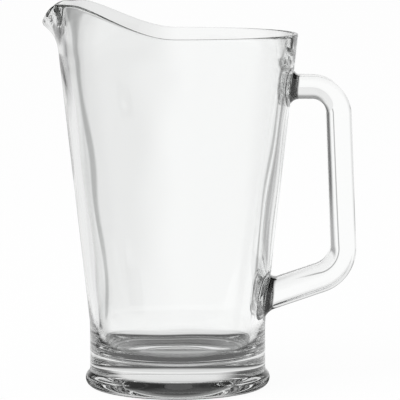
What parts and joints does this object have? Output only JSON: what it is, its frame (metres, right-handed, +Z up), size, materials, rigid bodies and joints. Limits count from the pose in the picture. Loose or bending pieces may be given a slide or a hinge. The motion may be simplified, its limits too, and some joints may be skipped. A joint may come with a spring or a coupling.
{
  "type": "beer pitcher",
  "caption": "Tall tapered clear-glass beer pitcher with a thick base, a rounded foot bead, a drawn pouring spout and a stuck-on side handle.",
  "frame": {"origin": "on the vessel's axis, in the plane of the ring that the pitcher stands on", "axes": "+Z up along the vessel's axis, spout towards -X, handle towards +X, mirror plane XZ"},
  "size_m": [0.1832, 0.1408, 0.2256],
  "materials": {
    "vessel_glass": "clear, fire polished, slightly wavy inside",
    "handle_glass": "clear, fire polished"
  },
  "bodies": {
    "root": {"vessel": "vessel_glass", "handle": "handle_glass"}
  },
  "joints": []
}
